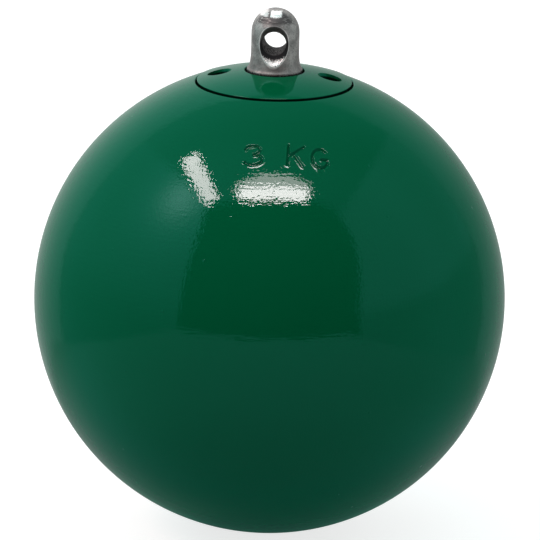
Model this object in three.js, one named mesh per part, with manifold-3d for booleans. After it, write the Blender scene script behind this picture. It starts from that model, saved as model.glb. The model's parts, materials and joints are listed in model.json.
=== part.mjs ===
// Throwing hammer head: a painted iron ball with a screwed plug and a ball-bearing swivel.
// Units are millimetres and +Z points up along the swivel's axis.
// The origin is the centre of the small flat that the ball stands on.
// The swivel's eye looks along Y, and the front of the hammer faces -Y.

import * as THREE from "three";
import { mergeVertices, toCreasedNormals } from "three/addons/utils/BufferGeometryUtils.js";
import Module from "manifold-3d";

const wasm = await Module();
wasm.setup();

// Ball
const ballDiameter = 95;
const standingFlatDiameter = 6;
const mouthDiameter = 31.5;
const mouthChamfer = 0.3;
const plugSeatWidth = 2.25;
const shellWall = 14.5;
const ballastDepth = 21.5;

// Plug
const plugProud = 0.2;
const plugLength = 15.7;
const plugSideGap = 0.25;
const plugEdgeChamfer = 0.3;
const plugLeadChamfer = 1;
const plugWeb = 6;
const recessDepth = 3.2;
const recessGap = 0.45;
const recessBevel = 0.25;
const spannerHoleDiameter = 4.3;
const spannerHoleDepth = 5;
const spannerHoleInset = 4.15;
const drillTipDepth = 1.2;
const spannerTurn = THREE.MathUtils.degToRad(-2.6);

// Bush and dust seal
const bushWall = 1;
const bushFlangeWidth = 0.9;
const bushFlangeThickness = 1;
const sealThickness = 0.9;
const sealSideGap = 0.3;
const sealRounding = 0.2;

// Swivel spindle
const stemDiameter = 9.7;
const stemLength = 5.1;
const flareHeight = 1.7;
const footFlange = 0.8;
const footRimHeight = 1.65;
const footChamfer = 0.3;
const shankDiameter = 8;
const shankChamfer = 0.8;
const shankTail = 1.1;
const eyeDiameter = 4.75;
const eyeBelowDome = 1.7;
const countersinkWidth = 1.7;
const countersinkDepth = 1.55;

// Thrust bearing
const bearingDiameter = 19;
const bearingHeight = 7;
const bearingBallDiameter = 3.175;
const bearingBallCount = 10;
const grooveDepth = 0.47;
const grooveRadiusShare = 1.05;
const ringChamfer = 0.3;
const cageThickness = 1.2;
const cageRim = 0.41;

// Flat washer, castle nut and split pin
const washerDiameter = 16;
const washerThickness = 1.6;
const washerChamfer = 0.3;
const nutAcrossFlats = 13;
const nutSides = 6;
const nutHeight = 9.5;
const nutCornerChamfer = 0.8;
const nutFaceInset = 0.3;
const nutSlotDepth = 3.4;
const nutSlotSpare = 0.1;
const nutSlots = 3;
const pinDiameter = 1.9;
const pinLegGap = 0.12;
const pinSideGap = 0.14;
const pinEyeBore = 1.8;
const pinEyeStandOff = 0.4;
const pinEyeOpening = THREE.MathUtils.degToRad(30);
const pinBendRadius = 1.4;
const pinBendStandOff = 0.2;
const pinTipLength = 1.9;

// Clearances, and one overrun that serves every cut
const seatGap = 0.05;
const runningGap = 0.15;
const footGap = 0.25;
const racewayGap = 0.08;
const cutOverrun = 1;

// How finely the round forms are divided
const ballSegments = 56;
const ballQuarterRings = 14;
const roundSegments = 48;
const innerSegments = 32;
const cavityRings = 12;
const eyeSegments = 32;
const holeSegments = 16;
const bearingBallSegments = 12;
const bearingBallRings = 8;
const domeSteps = 8;
const curveSteps = 5;
const pinEyeSteps = 6;
const pinSectionSteps = 6;
const smoothCrease = THREE.MathUtils.degToRad(30);

// Radii that follow from the sizes above
const ballRadius = ballDiameter / 2;
const flatRadius = standingFlatDiameter / 2;
const mouthRadius = mouthDiameter / 2;
const neckRadius = mouthRadius - plugSeatWidth;
const cavityRadius = ballRadius - shellWall;
const domeRadius = ballRadius + plugProud;
const plugRadius = mouthRadius - plugSideGap;
const stemRadius = stemDiameter / 2;
const footRadius = stemRadius + footFlange;
const recessRadius = footRadius + recessGap;
const shankRadius = shankDiameter / 2;
const bushBoreRadius = shankRadius + runningGap;
const bushRadius = bushBoreRadius + bushWall;
const bushSeatRadius = bushRadius + seatGap;
const bearingRadius = bearingDiameter / 2;
const racewayRadius = (shankRadius + bearingRadius) / 2;
const bearingBallRadius = bearingBallDiameter / 2;
const pocketRadius = bearingBallRadius + runningGap;
const nutRadius = nutAcrossFlats / 2;
const pinRadius = pinDiameter / 2;
const pinLegOffset = pinLegGap / 2;
const pinHoleRadius = pinRadius + pinLegOffset + pinSideGap;

// Levels along the swivel's axis, measured from the ball's centre: down to the flat, up to the
// crown, and from the recess down through the plug to the end of the spindle
const standingLevel = -Math.sqrt(ballRadius ** 2 - flatRadius ** 2);
const mouthRim = Math.sqrt(ballRadius ** 2 - mouthRadius ** 2);
const crown = domeRadius;
const recessFloor = crown - recessDepth;
const bearingRoof = recessFloor - plugWeb;
const plugBottom = crown - plugLength;
const plugSeat = plugBottom - seatGap;
const ballastTop = ballastDepth - cavityRadius;
const bushLevel = recessFloor + seatGap;
const sealLevel = bushLevel + bushFlangeThickness + seatGap;
const footLevel = sealLevel + sealThickness + footGap;
const flareTop = footLevel + footRimHeight + flareHeight;
const domeLevel = flareTop + stemLength;
const eyeLevel = domeLevel - eyeBelowDome;
const bearingLevel = bearingRoof - seatGap - bearingHeight / 2;
const washerLevel = bearingLevel - bearingHeight / 2 - seatGap - washerThickness;
const nutLevel = washerLevel - seatGap - nutHeight;
const spindleEnd = nutLevel - shankTail;
const pinLevel = nutLevel + nutSlotDepth - pinHoleRadius;

// A closed geometry as a solid that can be joined and cut.
function solidFrom(geometry) {
  geometry.deleteAttribute("normal");
  geometry.deleteAttribute("uv");
  const merged = mergeVertices(geometry);
  const mesh = new wasm.Mesh({
    numProp: 3,
    vertProperties: new Float32Array(merged.attributes.position.array),
    triVerts: new Uint32Array(merged.index.array),
  });
  return new wasm.Manifold(mesh);
}

// A solid as a geometry again, shaded smooth except across its sharp edges.
function geometryFrom(solid) {
  const mesh = solid.getMesh();
  const geometry = new THREE.BufferGeometry();
  geometry.setAttribute("position", new THREE.BufferAttribute(mesh.vertProperties, 3));
  geometry.setIndex(new THREE.BufferAttribute(mesh.triVerts, 1));
  return toCreasedNormals(geometry, smoothCrease);
}

// Points of an arc as [radius, height] pairs, for the outline of a turned piece.
function arc(centreRadius, centreHeight, arcRadius, fromAngle, toAngle, steps) {
  const points = [];
  for (let i = 0; i <= steps; i++) {
    const angle = THREE.MathUtils.lerp(fromAngle, toAngle, i / steps);
    const radius = centreRadius + arcRadius * Math.cos(angle);
    points.push([Math.max(radius, 0), centreHeight + arcRadius * Math.sin(angle)]);
  }
  return points;
}

// A piece turned about Z. The outline runs up its outside, from the axis and back to the axis.
function turned(outline, segments) {
  const points = outline.map(([radius, height]) => new THREE.Vector2(radius, height));
  const geometry = new THREE.LatheGeometry(points, segments);
  geometry.rotateX(Math.PI / 2);
  return solidFrom(geometry);
}

// A ring turned about Z. The outline is a loop that runs up the outside and down the bore.
function turnedRing(outline, segments) {
  return turned([...outline, outline[0]], segments);
}

// An upright round bar.
function bar(radius, bottom, top, segments) {
  return turned([[0, bottom], [radius, bottom], [radius, top], [0, top]], segments);
}

// The ball's outside on its turned flat. One ring of points lies exactly at its widest.
function ballOutside() {
  const flatAngle = Math.asin(flatRadius / ballRadius);
  const lower = arc(0, 0, ballRadius, flatAngle - Math.PI / 2, 0, ballQuarterRings);
  const upper = arc(0, 0, ballRadius, 0, Math.PI / 2, ballQuarterRings);
  return turned([[0, standingLevel], ...lower, ...upper.slice(1)], ballSegments);
}

// The cored hollow in the middle of the ball.
function hollow(radius) {
  return turned(arc(0, 0, radius, -Math.PI / 2, Math.PI / 2, cavityRings), innerSegments);
}

// The iron shell: a sphere bored for the plug, necked below the plug's seat, and hollow.
function makeBall() {
  const mouth = bar(mouthRadius, plugSeat, crown + cutOverrun, roundSegments);
  const neck = bar(neckRadius, 0, plugSeat + cutOverrun, innerSegments);
  const bevel = turned([
    [0, mouthRim - mouthChamfer],
    [mouthRadius, mouthRim - mouthChamfer],
    [mouthRadius + mouthChamfer, mouthRim],
    [mouthRadius + mouthChamfer, crown],
    [0, crown],
  ], roundSegments);
  const bored = ballOutside().subtract(mouth).subtract(bevel).subtract(neck);
  return bored.subtract(hollow(cavityRadius));
}

// The lead poured into the bottom of the hollow to bring the head to weight.
function makeBallast() {
  const above = bar(ballRadius, ballastTop, crown, innerSegments);
  return hollow(cavityRadius - seatGap).subtract(above);
}

// One blind hole for a pin of the spanner that screws the plug in, with its drill's cone.
function spannerHole(side) {
  const radius = spannerHoleDiameter / 2;
  const bottom = crown - spannerHoleDepth;
  const hole = turned([
    [0, bottom - drillTipDepth],
    [radius, bottom],
    [radius, crown + cutOverrun],
    [0, crown + cutOverrun],
  ], holeSegments);
  const reach = side * (plugRadius - spannerHoleInset);
  return hole.translate([reach * Math.cos(spannerTurn), reach * Math.sin(spannerTurn), 0]);
}

// The plug: a domed disc that carries on the ball's curve, with the recess for the swivel's foot
// on top, the bush's seat through its web, and the thrust bearing's pocket underneath.
function makePlug() {
  const rimAngle = Math.acos((plugRadius - plugEdgeChamfer) / domeRadius);
  const lipAngle = Math.acos((recessRadius + recessBevel) / domeRadius);
  const bearingPocket = bearingRadius + seatGap;
  const plug = turnedRing([
    [bushSeatRadius, bearingRoof],
    [bearingPocket, bearingRoof],
    [bearingPocket, plugBottom],
    [plugRadius - plugLeadChamfer, plugBottom],
    [plugRadius, plugBottom + plugLeadChamfer],
    [plugRadius, domeRadius * Math.sin(rimAngle) - plugEdgeChamfer],
    ...arc(0, 0, domeRadius, rimAngle, lipAngle, domeSteps),
    [recessRadius, domeRadius * Math.sin(lipAngle) - recessBevel],
    [recessRadius, recessFloor],
    [bushSeatRadius, recessFloor],
  ], roundSegments);
  return plug.subtract(spannerHole(-1)).subtract(spannerHole(1));
}

// The flanged bronze bush that guides the spindle. Its flange rests on the recess's floor.
function makeBush() {
  const flangeRadius = bushRadius + bushFlangeWidth;
  const barrelEnd = -seatGap - plugWeb;
  return turnedRing([
    [bushBoreRadius, barrelEnd],
    [bushRadius, barrelEnd],
    [bushRadius, 0],
    [flangeRadius, 0],
    [flangeRadius, bushFlangeThickness],
    [bushBoreRadius, bushFlangeThickness],
  ], innerSegments);
}

// The felt ring that keeps dirt out from under the swivel's foot.
function makeDustSeal() {
  const outer = recessRadius - sealSideGap;
  return turnedRing([
    [bushBoreRadius, 0],
    [outer - sealRounding, 0],
    [outer, sealRounding],
    [outer, sealThickness - sealRounding],
    [outer - sealRounding, sealThickness],
    [bushBoreRadius, sealThickness],
  ], innerSegments);
}

// The cutter for the eye: a round throat that opens into a wide countersink at both ends, so
// that the wire's loop bends round it without a sharp edge. The countersinks go on past the
// stem's sides at the same slope, and so they also cut the flare.
function eyeCutter() {
  const throat = eyeDiameter / 2;
  const half = stemRadius - countersinkDepth;
  const reach = footRadius + cutOverrun;
  const mouth = throat + ((reach - half) * countersinkWidth) / countersinkDepth;
  const cutter = turned([
    [0, -reach],
    [mouth, -reach],
    [throat, -half],
    [throat, half],
    [mouth, reach],
    [0, reach],
  ], eyeSegments);
  return cutter.rotate([90, 0, 0]).translate([0, 0, eyeLevel]);
}

// The cross hole for the split pin, along X.
function pinHole() {
  const hole = bar(pinHoleRadius, -nutRadius, nutRadius, holeSegments);
  return hole.rotate([0, 90, 0]).translate([0, 0, pinLevel]);
}

// The spindle, one forging: round top, stem with the eye, hollow-curved flare, foot and shank.
function makeSpindle() {
  const flare = [];
  for (let i = 0; i <= curveSteps; i++) {
    const turn = (Math.PI * i) / (2 * curveSteps);
    const radius = footRadius - footFlange * Math.sin(turn);
    flare.push([radius, flareTop - flareHeight * Math.cos(turn)]);
  }
  const spindle = turned([
    [0, spindleEnd],
    [shankRadius - shankChamfer, spindleEnd],
    [shankRadius, spindleEnd + shankChamfer],
    [shankRadius, footLevel],
    [footRadius - footChamfer, footLevel],
    [footRadius, footLevel + footChamfer],
    ...flare,
    ...arc(0, domeLevel, stemRadius, 0, Math.PI / 2, domeSteps),
  ], roundSegments);
  return spindle.subtract(eyeCutter()).subtract(pinHole());
}

// One grooved ring of the thrust bearing, about the bearing's middle. Side 1 lies below the balls
// with its raceway facing up, and side -1 above them with its raceway facing down.
function makeBearingRing(side, boreRadius) {
  const grooveRadius = bearingBallRadius * grooveRadiusShare;
  const grooveBottom = -side * (bearingBallRadius + racewayGap);
  const grooveCentre = grooveBottom + side * grooveRadius;
  const face = grooveBottom + side * grooveDepth;
  const back = (-side * bearingHeight) / 2;
  const outer = bearingRadius - seatGap;
  const edge = Math.acos((grooveRadius - grooveDepth) / grooveRadius);
  const middle = (-side * Math.PI) / 2;
  const from = middle + side * edge;
  const to = middle - side * edge;
  const outline = [
    [boreRadius, back],
    [outer - ringChamfer, back],
    [outer, back + side * ringChamfer],
    [outer, face],
    ...arc(racewayRadius, grooveCentre, grooveRadius, from, to, curveSteps),
    [boreRadius, face],
  ];
  if (side < 0) outline.reverse();
  return turnedRing(outline, innerSegments);
}

// The brass cage that keeps the balls evenly spaced, about the bearing's middle.
function makeCage() {
  const half = cageThickness / 2;
  const inner = racewayRadius - pocketRadius - cageRim;
  const outer = racewayRadius + pocketRadius + cageRim;
  const blank = turnedRing([[inner, -half], [outer, -half], [outer, half], [inner, half]], innerSegments);
  const pocket = bar(pocketRadius, -cageThickness, cageThickness, bearingBallSegments);
  let cage = blank;
  for (let i = 0; i < bearingBallCount; i++) {
    const [x, y] = ballPlace(i);
    cage = cage.subtract(pocket.translate([x, y, 0]));
  }
  return cage;
}

// Where a bearing ball sits on the raceway.
function ballPlace(index) {
  const angle = (index / bearingBallCount) * Math.PI * 2;
  return [racewayRadius * Math.cos(angle), racewayRadius * Math.sin(angle)];
}

// One bearing ball, with its poles up and down where it touches the rings.
function makeBearingBall() {
  const geometry = new THREE.SphereGeometry(bearingBallRadius, bearingBallSegments, bearingBallRings);
  return solidFrom(geometry.rotateX(Math.PI / 2));
}

// The washer between the bearing and the nut.
function makeWasher() {
  const outer = washerDiameter / 2;
  const bore = shankRadius + seatGap;
  return turnedRing([
    [bore, 0],
    [outer, 0],
    [outer, washerThickness - washerChamfer],
    [outer - washerChamfer, washerThickness],
    [bore, washerThickness],
  ], innerSegments);
}

// The castle nut: a hexagon with chamfered corners, a bore, and slots across its lower end.
function makeNut() {
  const cornerRadius = nutRadius / Math.cos(Math.PI / nutSides);
  const corners = [];
  for (let i = 0; i < nutSides; i++) {
    const angle = (Math.PI * (2 * i + 1)) / nutSides;
    corners.push(new THREE.Vector2(cornerRadius * Math.cos(angle), cornerRadius * Math.sin(angle)));
  }
  const shape = new THREE.Shape(corners);
  const hexagon = new THREE.ExtrudeGeometry(shape, { depth: nutHeight, bevelEnabled: false });
  const faceRadius = nutRadius - nutFaceInset;
  const chamfers = turned([
    [0, 0],
    [faceRadius, 0],
    [cornerRadius, nutCornerChamfer],
    [cornerRadius, nutHeight - nutCornerChamfer],
    [faceRadius, nutHeight],
    [0, nutHeight],
  ], roundSegments);
  const bore = bar(shankRadius + seatGap, -cutOverrun, nutHeight + cutOverrun, innerSegments);
  const slotWidth = 2 * pinHoleRadius + nutSlotSpare;
  const slotHeight = nutSlotDepth + cutOverrun;
  const slot = solidFrom(new THREE.BoxGeometry(2 * nutAcrossFlats, slotWidth, slotHeight));
  let nut = solidFrom(hexagon).intersect(chamfers).subtract(bore);
  for (let i = 0; i < nutSlots; i++) {
    const placed = slot.translate([0, 0, nutSlotDepth - slotHeight / 2]);
    nut = nut.subtract(placed.rotate([0, 0, (180 * i) / nutSlots]));
  }
  return nut;
}

// The split pin's upper half in the XZ plane, from its tip round its bend and along the leg to the
// end of its eye. Each station is a point on the wire's flat side and the way its round side faces.
function pinStations() {
  const bendStart = nutRadius + pinBendStandOff;
  const bendLevel = pinLegOffset + pinBendRadius;
  const stations = [[bendStart + pinBendRadius, bendLevel + pinTipLength, Math.PI]];
  for (let i = 0; i <= curveSteps; i++) {
    const turn = (-Math.PI * i) / (2 * curveSteps);
    const x = bendStart + pinBendRadius * Math.cos(turn);
    stations.push([x, bendLevel + pinBendRadius * Math.sin(turn), turn + Math.PI]);
  }
  const eyeStart = -nutRadius - pinEyeStandOff;
  const eyeRadius = pinEyeBore / 2;
  const eyeCentre = eyeStart - eyeRadius / Math.sin(pinEyeOpening);
  stations.push([eyeStart, pinLegOffset, (Math.PI - pinEyeOpening) / 2]);
  for (let i = 0; i <= pinEyeSteps; i++) {
    const turn = THREE.MathUtils.lerp(Math.PI / 2 - pinEyeOpening, Math.PI, i / pinEyeSteps);
    const level = pinLegOffset * (1 - i / pinEyeSteps) + eyeRadius * Math.sin(turn);
    stations.push([eyeCentre + eyeRadius * Math.cos(turn), level, turn]);
  }
  return stations;
}

// A half-round wire swept along its stations, with its two ends closed.
function sweptHalfRound(stations, radius) {
  const ring = pinSectionSteps + 1;
  const positions = [];
  for (const [x, z, facing] of stations) {
    for (let k = 0; k < ring; k++) {
      const turn = (Math.PI * k) / pinSectionSteps;
      const out = radius * Math.sin(turn);
      positions.push(x + out * Math.cos(facing), radius * Math.cos(turn), z + out * Math.sin(facing));
    }
  }
  const faces = [];
  const last = ring * (stations.length - 1);
  for (let start = 0; start < last; start += ring) {
    for (let k = 0; k < ring; k++) {
      const near = start + k;
      const next = start + ((k + 1) % ring);
      faces.push(near, near + ring, next, next, near + ring, next + ring);
    }
  }
  for (let k = 1; k + 1 < ring; k++) {
    faces.push(0, k, k + 1);
    faces.push(last, last + k + 1, last + k);
  }
  const geometry = new THREE.BufferGeometry();
  geometry.setAttribute("position", new THREE.Float32BufferAttribute(positions, 3));
  geometry.setIndex(faces);
  return solidFrom(geometry);
}

// The split pin, one half-round wire folded flat to flat, its two tips bent apart past the nut.
function makeSplitPin() {
  const upper = pinStations();
  const lower = upper.slice(0, -1).reverse();
  const mirrored = lower.map(([x, z, facing]) => [x, -z, 2 * Math.PI - facing]);
  return sweptHalfRound([...upper, ...mirrored], pinRadius);
}

// The finishes, each made anew for the mesh that wears it.
const finishes = {
  greenEnamel: { color: "#00603c", roughness: 0.16, metalness: 0.1 },
  forgedSteel: { color: "#84847f", roughness: 0.42, metalness: 0.9 },
  bearingSteel: { color: "#b4b7ba", roughness: 0.18, metalness: 1 },
  platedSteel: { color: "#a9a48f", roughness: 0.35, metalness: 0.9 },
  brass: { color: "#b98f45", roughness: 0.35, metalness: 0.9 },
  bronze: { color: "#96693c", roughness: 0.45, metalness: 0.8 },
  lead: { color: "#6d7075", roughness: 0.6, metalness: 0.6 },
  felt: { color: "#3b3a36", roughness: 0.95, metalness: 0 },
};

// A named mesh at a level on the swivel's axis.
function piece(name, solid, finish, level = 0) {
  const mesh = new THREE.Mesh(geometryFrom(solid), new THREE.MeshStandardMaterial(finishes[finish]));
  mesh.name = name;
  mesh.position.z = level;
  return mesh;
}

// Everything that stays still on the head.
const head = new THREE.Group();
head.add(
  piece("ball_shell", makeBall(), "greenEnamel"),
  piece("lead_ballast", makeBallast(), "lead"),
  piece("screw_plug", makePlug(), "greenEnamel"),
  piece("spindle_bush", makeBush(), "bronze", bushLevel),
  piece("dust_seal", makeDustSeal(), "felt", sealLevel),
  piece("bearing_housing_washer", makeBearingRing(-1, bushBoreRadius), "bearingSteel", bearingLevel),
);

// Everything that turns with the wire.
const swivel = new THREE.Group();
swivel.add(
  piece("swivel_spindle", makeSpindle(), "forgedSteel"),
  piece("bearing_shaft_washer", makeBearingRing(1, shankRadius + seatGap), "bearingSteel", bearingLevel),
  piece("flat_washer", makeWasher(), "platedSteel", washerLevel),
  piece("castle_nut", makeNut(), "platedSteel", nutLevel),
  piece("split_pin", makeSplitPin(), "platedSteel", pinLevel),
);

// The cage and its balls, which roll round at half the swivel's speed.
const rollingSet = new THREE.Group();
rollingSet.position.z = bearingLevel;
rollingSet.add(piece("bearing_cage", makeCage(), "brass"));
for (let i = 0; i < bearingBallCount; i++) {
  const ball = piece("bearing_ball_" + String(i + 1).padStart(2, "0"), makeBearingBall(), "bearingSteel");
  const [x, y] = ballPlace(i);
  ball.position.set(x, y, 0);
  rollingSet.add(ball);
}

// The whole hammer head, lifted so that its flat stands on the ground plane.
const hammerHead = new THREE.Group();
hammerHead.position.z = -standingLevel;
hammerHead.add(head, swivel, rollingSet);

const part = new THREE.Group();
part.add(hammerHead);

export default part;
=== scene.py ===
# %% [markdown]
# # A throwing hammer's head
#
# An athlete throws this iron ball on a wire. The wire loops through the eye of a steel swivel,
# and the swivel turns on a ball bearing that a screwed plug holds inside the ball. This lesson
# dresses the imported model: each step makes one piece or one finish, and says why it is made that
# way. Every object is in metres, in the model's own frame, with the ball standing on z = 0.

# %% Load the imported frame
import json
import math

import bmesh
import bpy
import numpy as np
from mathutils import Matrix, Vector


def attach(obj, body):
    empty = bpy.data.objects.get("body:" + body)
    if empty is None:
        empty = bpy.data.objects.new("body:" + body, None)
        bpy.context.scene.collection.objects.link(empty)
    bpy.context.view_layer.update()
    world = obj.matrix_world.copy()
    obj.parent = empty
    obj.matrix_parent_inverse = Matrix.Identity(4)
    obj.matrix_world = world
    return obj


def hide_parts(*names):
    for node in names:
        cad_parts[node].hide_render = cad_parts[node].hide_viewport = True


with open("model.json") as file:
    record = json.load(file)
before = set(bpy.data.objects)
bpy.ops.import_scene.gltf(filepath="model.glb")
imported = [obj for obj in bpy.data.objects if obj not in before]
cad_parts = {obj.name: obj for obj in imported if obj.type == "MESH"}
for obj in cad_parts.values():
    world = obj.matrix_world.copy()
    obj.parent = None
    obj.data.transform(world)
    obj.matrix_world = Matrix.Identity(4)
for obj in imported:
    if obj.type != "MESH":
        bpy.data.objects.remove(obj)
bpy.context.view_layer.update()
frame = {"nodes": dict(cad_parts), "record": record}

# %% [markdown]
# ## Sizes
#
# The sizes below are the model's own, so that each new piece lands on the solid that it stands
# for. They are written in millimetres times mm, which is easier to check against a drawing.

# %% The sizes that the visible pieces share
mm = 0.001
ball_radius = 47.5 * mm
flat_radius = 3 * mm
ball_centre = math.sqrt(ball_radius ** 2 - flat_radius ** 2)
mouth_radius = 15.75 * mm
plug_radius = 15.5 * mm
dome_rise = 0.2 * mm
dome_radius = ball_radius + dome_rise
crown = ball_centre + dome_radius
print("the ball's centre is", round(ball_centre / mm, 3), "mm up, the crown", round(crown / mm, 3))

# %% [markdown]
# ## Turned pieces
#
# Almost everything here was made on a lathe, so one helper spins an outline about the z axis.
# Blender's Screw modifier could do it too, but its rings are evenly spaced. The ball needs its
# rings and spokes close together round the stamped mark and far apart elsewhere, so the helper
# takes the list of angles. An angle of 0 faces the front, which is -y.

# %% A helper that spins an outline
on_axis = 1e-7


def spun(name, outline, angles):
    """A closed turned mesh. The outline is (radius, height) pairs, up the outside and back."""
    spokes = len(angles)
    sines, cosines = np.sin(angles), np.cos(angles)
    vertices, rings = [], []
    for radius, height in outline:
        start = len(vertices)
        if radius < on_axis:
            vertices.append((0.0, 0.0, height))
            rings.append([start] * spokes)
        else:
            vertices += [(radius * s, -radius * c, height) for s, c in zip(sines, cosines)]
            rings.append(list(range(start, start + spokes)))
    faces = []
    for low, high in zip(rings, rings[1:] + rings[:1]):
        if low[0] == low[-1] and high[0] == high[-1]:
            continue
        for i in range(spokes):
            j = (i + 1) % spokes
            corners = dict.fromkeys((low[i], low[j], high[j], high[i]))
            faces.append(tuple(corners))
    mesh = bpy.data.meshes.new(name)
    mesh.from_pydata(vertices, [], faces)
    mesh.validate()
    piece = bpy.data.objects.new(name, mesh)
    bpy.context.scene.collection.objects.link(piece)
    return piece


print("the lathe is ready")

# %% Helpers for its outlines and its shading
def even_angles(count):
    """Angles evenly spaced over a whole turn."""
    return np.arange(count) * 2 * math.pi / count


def bow(radius, start, end, steps, up=0.0):
    """Points of an arc as (radius, height) pairs, between two angles in degrees."""
    turns = np.radians(np.linspace(start, end, steps + 1))
    return [(radius * math.cos(t), up + radius * math.sin(t)) for t in turns]


def softened(piece, sharp=35):
    """Smooth shading, except across edges that turn by more than so many degrees."""
    piece.data.shade_smooth()
    piece.data.set_sharp_from_angle(angle=math.radians(sharp))


print("helpers ready for turned pieces")

# %% [markdown]
# ## The mark's strokes
#
# The foundry strikes the weight into the iron with letter punches before the ball is painted.
# A text object could cut the letters, but its corners would be crisp, and paint has softened
# these. So each letter is drawn as the path that the middle of its stroke follows. The ball's
# mesh then dips wherever a point is near such a path.

# %% Draw the strokes, in millimetres about the middle of the mark
letter_scale = 0.87


def curl(across, up, wide, high, start, end, steps=14):
    """An elliptical stroke about a centre, between two angles in degrees."""
    turns = np.radians(np.linspace(start, end, steps + 1))
    return np.stack([across + wide * np.cos(turns), up + high * np.sin(turns)], 1)


def letter(strokes, across, up, tilt):
    """Strokes moved to their place in the mark, and turned by a few degrees."""
    c, s = math.cos(math.radians(tilt)), math.sin(math.radians(tilt))
    turn = np.array([[c, s], [-s, c]])
    return [letter_scale * np.asarray(stroke) @ turn + (across, up) for stroke in strokes]


three = [
    curl(-0.1, 1.35, 1.75, 1.3, 160, -80),
    curl(-0.1, -1.4, 2.05, 1.4, 85, -158),
]
kilo = [
    [(-1.6, 2.7), (-1.6, -2.7)],
    [(1.75, 2.7), (-1.5, -0.35)],
    [(-0.45, 0.55), (1.9, -2.75)],
]
gram = [
    curl(0.05, 0.0, 1.9, 2.65, 48, 330),
    [(1.75, -1.5), (1.75, -0.25), (0.35, -0.25)],
]
mark_strokes = letter(three, -4.17, 0.0, 3) + letter(kilo, 4.0, 0.0, -3)
mark_strokes += letter(gram, 9.0, -0.1, 2)
print(len(mark_strokes), "strokes in the mark")

# %% [markdown]
# ## The depth of the mark
#
# The mark lies on a round surface, so a point of the ball is first laid flat on a small map that
# touches the ball at the mark's middle. The map gives its distance from the nearest stroke, and
# the distance gives the depth: a flat floor, a rounded wall, and the low lip of iron that a punch
# throws up beside it.

# %% Lay a point of the ball on the mark's map
mark_latitude = math.radians(51.8)
mark_longitude = math.radians(4.2)
least_facing = 0.2


def on_mark(points):
    """Where unit directions from the ball's centre fall on the mark, in millimetres."""
    c, s = math.cos(mark_latitude), math.sin(mark_latitude)
    cl, sl = math.cos(mark_longitude), math.sin(mark_longitude)
    out = np.array([c * sl, -c * cl, s])
    east = np.array([cl, sl, 0.0])
    north = np.array([-s * sl, s * cl, c])
    depth = np.maximum(points @ out, least_facing)
    radius = ball_radius / mm
    return np.stack([radius * (points @ east) / depth, radius * (points @ north) / depth], 1)


print("the mark's middle is", round(math.degrees(mark_latitude), 1), "degrees up")

# %% How far each point is pressed in
stroke_width = 0.66
stroke_depth = 0.3
floor_share = 0.3
wall_share = 0.95
lip_height = 0.04
lip_place = 1.45
lip_width = 0.16
far_from_mark = 9.0


def pressed(places):
    """The height of the surface over the mark, in millimetres, for places on its map."""
    nearest = np.full(len(places), far_from_mark)
    for stroke in mark_strokes:
        for a, b in zip(stroke[:-1], stroke[1:]):
            a, b = np.asarray(a), np.asarray(b)
            along = np.clip(((places - a) @ (b - a)) / ((b - a) @ (b - a)), 0, 1)
            gap = np.linalg.norm(places - (a + along[:, None] * (b - a)), axis=1)
            nearest = np.minimum(nearest, gap)
    half = stroke_width / 2
    dip = np.clip((nearest - floor_share * half) / (wall_share * half), 0, 1)
    floor = -stroke_depth * 0.5 * (1 + np.cos(np.pi * dip))
    lip = lip_height * np.exp(-((nearest - lip_place * half) / lip_width) ** 2)
    return floor + lip


print("the deepest point is", round(float(pressed(mark_strokes[0][3:4])[0]), 3), "mm")

# %% [markdown]
# ## The ball
#
# The real ball is an iron casting, turned true, bored at the top for the plug, and painted with
# green enamel. The mesh follows the same outline, hollow and all. Its spokes and rings are packed
# closely where the mark is, so that the letters are real dents. The paint gathers in a soft bead
# round the mouth, and the mesh rounds that edge over too.

# %% Space the ball's rings and spokes
coarse_ring, fine_ring = 1.6, 0.10
coarse_spoke, fine_spoke = 1.8, 0.16
mark_rings = (47.4, 55.6)
mark_spokes = (-9.0, 27.0)
bead = 0.3 * mm
bead_angle = math.degrees(math.acos((mouth_radius + bead) / ball_radius))
flat_angle = -math.degrees(math.acos(flat_radius / ball_radius))


def packed_steps(low, high, dense, coarse, fine):
    """Values from low to high, in coarse steps, with fine steps over the dense stretch."""
    dense_low, dense_high = dense
    before = np.linspace(low, dense_low, max(2, round((dense_low - low) / coarse) + 1))
    inside = np.linspace(dense_low, dense_high, round((dense_high - dense_low) / fine) + 1)
    after = np.linspace(dense_high, high, max(2, round((high - dense_high) / coarse) + 1))
    return np.concatenate([before, inside[1:], after[1:]])


latitudes = packed_steps(flat_angle, bead_angle, mark_rings, coarse_ring, fine_ring)
longitudes = np.radians(packed_steps(-180, 180, mark_spokes, coarse_spoke, fine_spoke)[:-1])
print(len(latitudes), "rings and", len(longitudes), "spokes")

# %% Spin the ball
bead_drop = 0.9
bead_turns = np.radians(np.linspace(15, 90, 6))
seat = 79.355 * mm
neck_radius = 13.5 * mm
cavity_radius = 33 * mm
cavity_steps = 24

outside = [
    (ball_radius * math.cos(a), ball_centre + ball_radius * math.sin(a))
    for a in np.radians(latitudes)
]
edge_height = outside[-1][1]
mouth_bead = [
    (mouth_radius + bead * (1 - math.sin(t)), edge_height - bead * bead_drop * (1 - math.cos(t)))
    for t in bead_turns
]
neck_angle = math.degrees(math.acos(neck_radius / cavity_radius))
hollow = bow(cavity_radius, neck_angle, -90, cavity_steps, up=ball_centre)
hollow[-1] = (0, ball_centre - cavity_radius)
ball_outline = [(0, 0), *outside, *mouth_bead, (mouth_radius, seat), (neck_radius, seat), *hollow]
ball = spun("ball", ball_outline, longitudes)
print("the ball has", len(ball.data.polygons), "faces")

# %% Push the vertices of the mark
mark_middle = 2.5
mark_half_width = 11
mark_half_height = 4.6
on_surface = 1e-6
no_zero = 1e-9


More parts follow.
